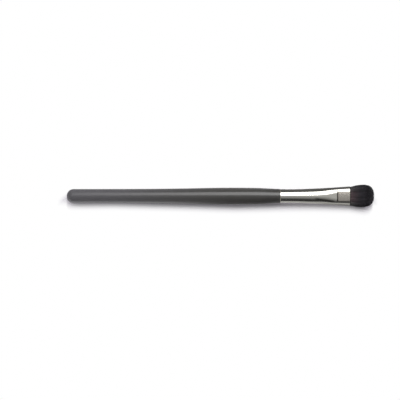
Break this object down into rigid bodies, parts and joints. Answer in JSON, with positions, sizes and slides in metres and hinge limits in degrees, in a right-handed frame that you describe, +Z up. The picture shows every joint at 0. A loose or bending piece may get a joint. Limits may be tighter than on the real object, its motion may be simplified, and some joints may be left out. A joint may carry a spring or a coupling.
{
  "type": "shading brush",
  "caption": "Slim eye-shading brush: a turned lacquered handle, a bright tube ferrule pressed from round to oval, and a short domed head of dark hair.",
  "frame": {"origin": "on the surface that the brush lies on, under the middle of its bounding box; the brush's axis is 4.51 mm above it", "axes": "+X along the brush from the butt to the hair's tip, +Y across its broad side, +Z up, square to its broad side"},
  "size_m": [0.165, 0.0119, 0.009],
  "materials": {
    "charcoal_lacquer": "satin charcoal lacquer over turned wood",
    "bright_nickel": "polished, nickel bright",
    "dark_hair": "soft, slightly glossy fine hair",
    "root_resin": "cured resin full of hair roots",
    "binding_thread": "natural cotton thread",
    "amber_glue": "cured adhesive film"
  },
  "bodies": {
    "root": {"handle": "charcoal_lacquer", "ferrule": "bright_nickel", "hair_tuft": "dark_hair", "root_plug": "root_resin", "root_binding": "binding_thread", "tenon_glue": "amber_glue"}
  },
  "joints": []
}
